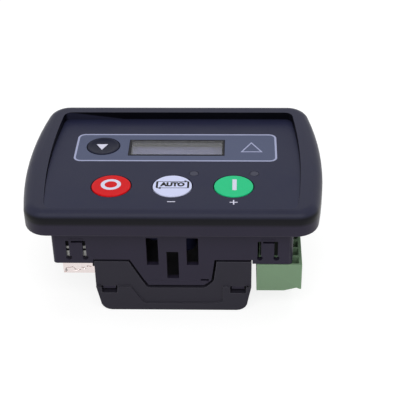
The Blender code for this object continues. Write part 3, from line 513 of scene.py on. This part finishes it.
# Keys: four caps turned out of the fascia, each held from behind by its flange over a tactile switch.
# The caps are moulded in red, white, green and black, and the legends are printed on them.
KEYS = {"stop": (0.0151, (208, 6, 16), 0.36, "red_key"),
        "auto": (0.0151, (211, 216, 248), 0.4, "white_key"),
        "start": (0.0151, (36, 196, 132), 0.36, "green_key"),
        "scroll": (0.0131, (12, 16, 38), 0.42, "black_key")}
KEY_PROUD = 0.00022
KEY_TOP_ROUND = 0.0004
PLUNGER_RADIUS = 0.0018
FRONT_WALL_Z = 0.0450
FLAT_TOP = ((0.9, 0.00001), (0.6, 0), (0, 0))
DISHED_TOP = ((0.86, 0.00002), (0.78, 0.00022), (0.6, 0.00045), (0.3, 0.00055), (0, 0.0006))
DISH_DEPTH, ARROW_INK = 0.0005, 0.00025


def key_cap(name, diameter, colour, roughness, slot):
    """A turned cap with its flange and plunger, whose face leans with the film."""
    low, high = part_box(name + "_key")
    x, y = (low.x + high.x) / 2, (low.y + high.y) / 2
    origin = fascia_z(y)
    r, flange = diameter / 2, (high.x - low.x) / 2
    foot, under = low.z - origin, FRONT_WALL_Z - origin
    profile = [(0, foot), (PLUNGER_RADIUS, foot), (PLUNGER_RADIUS, under - 0.0012),
               (flange - 0.0002, under - 0.0012), (flange, under - 0.001), (flange, under - 0.0002),
               (flange - 0.0002, under), (r, under)]
    for i in range(7):
        a = math.pi / 2 * i / 6
        profile.append((r - KEY_TOP_ROUND * (1 - math.cos(a)),
                        KEY_PROUD - KEY_TOP_ROUND * (1 - math.sin(a))))
    top = DISHED_TOP if name == "scroll" else FLAT_TOP
    profile += [(r * share, KEY_PROUD - depth) for share, depth in top]
    bm = bmesh.new()
    verts = [bm.verts.new((a, 0, b)) for a, b in profile]
    edges = [bm.edges.new(pair) for pair in zip(verts, verts[1:])]
    bmesh.ops.spin(bm, geom=verts + edges, cent=(0, 0, 0), axis=(0, 0, 1), angle=2 * math.pi, steps=96,
                   use_merge=True)
    weld(bm, 0.000001)
    bmesh.ops.recalc_face_normals(bm, faces=bm.faces)
    for vert in bm.verts:
        if vert.co.z > under + 0.0001:
            vert.co.z -= FASCIA_LEAN * vert.co.y
    bmesh.ops.translate(bm, vec=(x, y, origin), verts=bm.verts)
    finish = moulded(name + "_key_plastic", colour, roughness, grain_scale=4200.0, relief=0.000004, wear_and_sheen=0.5,
                     spread=0.03)
    made(name + "_cap", bm, finish, name + "_button", 40, [name + "_key"])


for name, looks in KEYS.items():
    key_cap(name, *looks)
printed("stop_legend", [ring_loop(-0.0237, -0.0191, 0.0078, 0.0075),
                        ring_loop(-0.0237, -0.0191, 0.0048, 0.0045)],
        white_ink, KEY_PROUD, "stop_button")
printed("start_legend", [box_loop(0.02305, 0.0247, -0.0228, -0.0152, 0.00015)],
        white_ink, KEY_PROUD, "start_button")
printed("scroll_legend", [[(-0.0299, 0.0075), (-0.02785, 0.0118), (-0.0324, 0.0118)]],
        white_ink, KEY_PROUD - DISH_DEPTH, "scroll_button", ARROW_INK)

left, right, low, high, thin = -0.0063, 0.0065, -0.0215, -0.0167, 0.0003
printed("auto_frame", [box_loop(left, right, low, high, 0.0005),
                       box_loop(left + 0.0008, right - 0.0008, low + thin, high - thin, 0.0002)],
        black_ink, KEY_PROUD, "auto_button")
printed("auto_arrows", [[(right - 0.0019, high - 0.0008), (right - 0.0019, high + 0.0007),
                         (right - 0.0006, high - 0.00005)],
                        [(left + 0.0019, low + 0.0008), (left + 0.0019, low - 0.0007),
                         (left + 0.0006, low + 0.00005)]],
        black_ink, KEY_PROUD + INK / 2, "auto_button")
word = bpy.data.curves.new("auto_word", "FONT")
word.body, word.size, word.align_x, word.align_y = "AUTO", 0.0043, "CENTER", "CENTER"
word.extrude, word.offset, word.resolution_u = INK / 2, 0.0003, 6
lettering = bpy.data.objects.new("auto_word", word)
lettering.matrix_world = Matrix.Translation((0.0001, -0.019, 0)) @ Matrix.Diagonal((0.75, 0.82, 1, 1))
made("auto_word", laid_flat(lettering, KEY_PROUD), black_ink, "auto_button")


# Window and display: a clear acrylic pane, printed black round its edge, lies flush in the film.
# Behind it an unlit grey liquid crystal display sits with its light panel in a moulded holder.
PANE_CLEAR, PANE_HAZE = srgb(236, 238, 244), 0.97
CELL_WIDTH, CELL_HEIGHT, CELL_GAP = 0.00058, 0.00062, 0.00004


def dress(node, finish):
    """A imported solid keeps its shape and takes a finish."""
    piece = solids[node]
    piece.data.materials.clear()
    piece.data.materials.append(finish)


acrylic, tree, shader = new_finish("window_acrylic")
shader.inputs["Transmission Weight"].default_value = 1.0
shader.inputs["IOR"].default_value = 1.49
haze = place(tree, "ShaderNodeGroup", node_tree=mould_skin).outputs["Cloud"]
tree.links.new(mixed(tree, haze, toned(PANE_CLEAR, PANE_HAZE), PANE_CLEAR), shader.inputs["Base Color"])
tree.links.new(graded(tree, haze, 0.0, 1.0, 0.04, 0.09), shader.inputs["Roughness"])
dress("display_window", acrylic)
printed("window_frame", [box_loop(window_low.x, window_high.x, window_low.y, window_high.y),
                         box_loop(window_low.x + 0.0009, window_high.x - 0.0008, window_low.y + 0.0008,
                                  window_high.y - 0.0008, 0.0003)], black_ink)

lcd, tree, shader = new_finish("crystal_display")
shader.inputs["Roughness"].default_value = 0.55
spot = object_place(tree)
cells = place(tree, "ShaderNodeTexBrick", {"Vector": spot, "Scale": 1.0, "Brick Width": CELL_WIDTH,
                                           "Row Height": CELL_HEIGHT, "Mortar Size": CELL_GAP,
                                           "Color1": srgb(108, 108, 140), "Color2": srgb(106, 106, 138),
                                           "Mortar": srgb(111, 111, 143)}, offset=0.0)
tree.links.new(cells.outputs["Color"], shader.inputs["Base Color"])
grained(tree, shader, noise(tree, spot, 900.0, 2.0), 0.3, 0.000004)
dress("display_glass", lcd)
dress("display_backlight", moulded("backlight_plastic", (226, 226, 220), 0.4))
holder_plastic = moulded("holder_plastic", (30, 30, 34), 0.5)
dress("display_holder", holder_plastic)
dress("display_pin_strip", holder_plastic)


# Indicator lights: smoked acrylic pipes carry each lamp's light from the board to the film.
# The alarm light ends below the film, behind the alarm symbol.
pipe_acrylic = moulded("pipe_acrylic", (62, 63, 78), 0.4, relief=0.000004)
lamp_resin = moulded("lamp_resin", (196, 120, 84), 0.2, relief=0.000002)
for light in ("auto", "start", "alarm"):
    dress(light + "_light_pipe", pipe_acrylic)
    dress(light + "_led", lamp_resin)


# Tactile switches: one under each key, moulded in black plastic and soldered to the board.
# Each has a round stem, which travels with its key.
switch_plastic = moulded("switch_plastic", (38, 38, 42), 0.45)
for name in KEYS:
    dress(name + "_switch", switch_plastic)
    dress(name + "_switch_stem", switch_plastic)


# Main board: glass-fibre laminate under green solder mask, with its copper tracks showing paler.
# It hangs from the bosses of the front case.
TRACK_LENGTH, TRACK_PITCH, TRACK_GAP, TRACK_SHIFT = 0.0046, 0.0011, 0.00024, 0.37
solder_mask, tree, shader = new_finish("solder_mask")
shader.inputs["Roughness"].default_value = 0.3
spot = object_place(tree)
tracks = place(tree, "ShaderNodeTexBrick", {"Vector": spot, "Scale": 1.0, "Brick Width": TRACK_LENGTH,
                                            "Row Height": TRACK_PITCH, "Mortar Size": TRACK_GAP,
                                            "Color1": srgb(22, 74, 50), "Color2": srgb(26, 82, 56),
                                            "Mortar": srgb(44, 112, 76)}, offset=TRACK_SHIFT)
weave = noise(tree, spot, 1600.0, 2.0)
tree.links.new(mixed(tree, weave, tracks.outputs["Color"], srgb(24, 80, 54)), shader.inputs["Base Color"])
grained(tree, shader, tracks.outputs["Fac"], 0.5, 0.00002)
dress("main_board", solder_mask)


# Parts on the board: a processor, a crystal in its steel can, an inductor, two relays and two capacitors.
# They are bought in, in black epoxy, moulded cases, plated steel and printed plastic sleeves.
def metal(name, colour, roughness, stretch=(1.0, 1.0, 1.0)):
    """A plated or rolled metal with faint drawn lines and uneven gloss."""
    finish, tree, shader = new_finish(name)
    shader.inputs["Metallic"].default_value = 1.0
    along = place(tree, "ShaderNodeMapping", {"Vector": object_place(tree), "Scale": stretch})
    lines = noise(tree, along.outputs["Vector"], 900.0, 3.0)
    base = srgb(*colour)
    tree.links.new(mixed(tree, lines, toned(base, 0.86), base), shader.inputs["Base Color"])
    rough = graded(tree, lines, 0.3, 0.7, roughness - 0.05, roughness + 0.07)
    tree.links.new(rough, shader.inputs["Roughness"])
    grained(tree, shader, lines, 0.4, 0.000006)
    return finish


chip_epoxy = moulded("chip_epoxy", (30, 30, 33), 0.6)
relay_plastic = moulded("relay_plastic", (26, 27, 31), 0.3)
dress("processor", chip_epoxy)
dress("power_inductor", chip_epoxy)
dress("crank_relay", relay_plastic)
dress("fuel_relay", relay_plastic)
dress("clock_crystal", metal("crystal_can", (196, 196, 194), 0.25))
sleeve = moulded("capacitor_sleeve", (44, 46, 74), 0.3)
dress("supply_capacitor", sleeve)
dress("filter_capacitor", sleeve)


# Communications socket: a square socket in a folded shell of tinned steel, soldered to the board.
# Its spring tongues are cut from the shell's walls, and a white insert carries the contacts.
# A white pad and black cards are guesses at the marks that show through the slits of the left finger: the
# pad is painted light and the cards are painted shade, not parts of the socket.
SHELL_FACE_Y, CUT_DEPTH = -0.0313, 0.00035
FOLD_CUTS = [([(-42.95, 16.9), (-42.35, 16.9), (-42.1, 18.85), (-40.4, 19.2), (-39.4, 19.45)], 0.28),
             ([(-39.3, 19.35), (-38.3, 18.05), (-36.4, 18.05)], 0.28),
             ([(-36.1, 19.15), (-35.3, 18.95), (-34.3, 18.45)], 0.28),
             ([(-33.9, 19.75), (-32.9, 19.75), (-32.2, 19.45)], 0.5)]
CARD = 0.00028
SHELL_LEFT, SHELL_RIGHT = -0.0428, -0.0314
SHADE_CARDS = ((SHELL_LEFT, SHELL_RIGHT, 0.0301, 0.0336, CARD / 2),
               (SHELL_LEFT, SHELL_RIGHT, 0.02785, 0.0288, CARD / 2), (-0.0316, -0.0309, 0.02, 0.0249, 0.0))


def ribbon(line, width):
    """The outline of a bent line of some width, from points in millimetres."""
    points = [Vector(point) / 1000 for point in line]
    sides = []
    for before, after in zip(points, points[1:]):
        run = (after - before).normalized()
        sides.append(Vector((-run.y, run.x)) * width / 2000)
    mitres = [(one + two) / (1 + one.dot(two) / one.dot(one)) for one, two in zip(sides, sides[1:])]
    shifts = [sides[0], *mitres, sides[-1]]
    return ([tuple(p + q) for p, q in zip(points, shifts)]
            + [tuple(p - q) for p, q in zip(points, shifts)][::-1])


def sheet(left, right, low, high, radius, front, back):
    """A thin sheet that stands on edge, square to the front."""
    return swept(box_loop(left, right, low, high, radius), front, back, "Y")


tinned_steel = metal("tinned_steel", (238, 226, 224), 0.2, stretch=(1.0, 1.0, 0.15))
shell = merged_copy("usb_shell", whole=False)
shell = shaped(shell, "DIFFERENCE", *(swept(ribbon(line, width), SHELL_FACE_Y - 0.0005,
                                            SHELL_FACE_Y + CUT_DEPTH, "Y") for line, width in FOLD_CUTS))
weld(shell)
bmesh.ops.triangulate(shell, faces=shell.faces)
made("usb_can", shell, tinned_steel, smooth=15, stands_for=["usb_shell"])
# Black card for painted shade: behind the fold cuts and the left finger's slits it makes them show dark.
shade_card = moulded("painted_shade_black", (15, 15, 17), 0.7)
# The black liner behind the fold cuts is painted shade, so that the cuts show dark.
liner = sheet(SHELL_LEFT, SHELL_RIGHT, 0.0167, 0.0207, 0.0003, SHELL_FACE_Y + CUT_DEPTH,
              SHELL_FACE_Y + CUT_DEPTH + 0.0001)
made("painted_shade_liner", liner, shade_card)
insert_plastic = moulded("insert_plastic", (236, 236, 232), 0.45)
# The white pad is painted light, brightening what shows through the left finger's slits.
pad = sheet(SHELL_LEFT, SHELL_RIGHT, 0.0251, 0.0303, 0.0003, SHELL_FACE_Y - CARD / 2, SHELL_FACE_Y)
made("painted_light_pad", pad, insert_plastic)
# The black cards are painted shade behind those slits.
for number, (left, right, low, high, off_shell) in enumerate(SHADE_CARDS, 1):
    card = sheet(left, right, low, high, 0.0002, SHELL_FACE_Y - CARD, SHELL_FACE_Y - off_shell)
    made("painted_shade_card_%d" % number, card, shade_card)
dress("usb_insert", insert_plastic)


# Output terminals: a pluggable eight-way block in green polyamide, pushed into its header on the board.
# Its edges are eased by the mould. A dark olive card behind the right finger's slits is painted shade, a
# guess at the green header seen in shadow there.
green_polyamide = moulded("green_polyamide", (127, 156, 125), 0.42, grain_scale=2200.0, wear_and_sheen=0.4,
                          spread=0.05)
plug = merged_copy("output_plug")
ease(plug, sharp_edges(plug, shortest=0.0012), 0.00018)
made("plug_block", plug, green_polyamide, stands_for=["output_plug"])
dress("output_header", green_polyamide)
# The dark olive card is painted shade, not a part of the controller.
card = sheet(0.0337, 0.0436, 0.0259, 0.0336, 0.0003, SHELL_FACE_Y - CARD, SHELL_FACE_Y)
made("painted_shade_header", card, moulded("painted_shade_olive", (26, 31, 26), 0.7))


# Sensing header: a four-way socket in the same green polyamide, soldered to the board.
# Its four square pins are tinned, and stand far apart for the higher voltage.
dress("sensing_header", green_polyamide)
for number in range(1, 5):
    dress("sensing_pin_%d" % number, tinned_steel)


# Studio: a white floor that keeps a soft shadow, a wide lamp above the front, a large one overhead
# and a faint one low in front. The floor and the air show white to the eye, to metal and to glass,
# without more light on the object.
FLOOR_SIZE, FLOOR_DROP = 4.0, 0.0001
FLOOR_PAPER, SHADOW_SHARE, FLOOR_GLOW = 0.8, 0.28, 0.83
AIR_LIGHT = 0.35
AIM_HEIGHT = 0.03


def seen_directly(tree):
    """1 for what the camera sees straight, in a reflection or through glass."""
    path = place(tree, "ShaderNodeLightPath").outputs
    return maths(tree, "MAXIMUM", maths(tree, "MAXIMUM", path["Is Camera Ray"], path["Is Transmission Ray"]),
                 path["Is Glossy Ray"])


ground = bmesh.new()
bmesh.ops.create_grid(ground, x_segments=1, y_segments=1, size=FLOOR_SIZE / 2,
                      matrix=Matrix.Translation((0, 0, -FLOOR_DROP)))
floor_mesh = bpy.data.meshes.new("floor")
ground.to_mesh(floor_mesh)
ground.free()
floor = bpy.data.objects.new("floor", floor_mesh)
bpy.context.scene.collection.objects.link(floor)
floor_white, tree, shader = new_finish("floor_white")
tree.nodes.remove(shader)
paper, bright = (place(tree, "ShaderNodeBsdfDiffuse", {"Color": (grey, grey, grey, 1.0)})
                 for grey in (FLOOR_PAPER, SHADOW_SHARE))
glow = place(tree, "ShaderNodeEmission", {"Color": (1.0, 1.0, 1.0, 1.0), "Strength": FLOOR_GLOW})
shown = place(tree, "ShaderNodeAddShader", {0: bright.outputs[0], 1: glow.outputs[0]})
both = place(tree, "ShaderNodeMixShader", {0: seen_directly(tree), 1: paper.outputs[0], 2: shown.outputs[0]})
tree.links.new(both.outputs[0], tree.nodes["Material Output"].inputs["Surface"])
floor_mesh.materials.append(floor_white)

# The air is plain white to the eye, in gloss and through glass, and gives an even grey light
world = bpy.data.worlds.new("studio")
bpy.context.scene.world = world
world.use_nodes = True
tree = world.node_tree
air = tree.nodes["Background"]
air.inputs["Color"].default_value = (1.0, 1.0, 1.0, 1.0)
air.inputs["Strength"].default_value = AIR_LIGHT
white = place(tree, "ShaderNodeBackground", {"Color": (1.0, 1.0, 1.0, 1.0), "Strength": 1.0})
sky = place(tree, "ShaderNodeMixShader", {0: seen_directly(tree), 1: air.outputs[0], 2: white.outputs[0]})
tree.links.new(sky.outputs[0], tree.nodes["World Output"].inputs["Surface"])


def softbox(name, at, size, power, mirrored):
    """A flat lamp that faces the controller, and may show in its gloss."""
    lamp = bpy.data.lights.new(name, "AREA")
    lamp.shape, lamp.size, lamp.size_y, lamp.energy = "RECTANGLE", *size, power
    box = bpy.data.objects.new(name, lamp)
    at = Vector(at)
    aim = (Vector((0, 0, AIM_HEIGHT)) - at).to_track_quat("-Z", "Y")
    box.matrix_world = Matrix.Translation(at) @ aim.to_matrix().to_4x4()
    box.visible_glossy = mirrored
    bpy.context.scene.collection.objects.link(box)


softbox("key", (0.0, -0.62, 0.86), (1.5, 0.42), 4.5, mirrored=True)
softbox("overhead", (0.05, 0.3, 1.1), (0.9, 0.9), 5.0, mirrored=False)
softbox("front_fill", (0.0, -1.2, 0.25), (0.8, 0.8), 1.5, mirrored=False)

bpy.context.scene.view_settings.view_transform = "Standard"
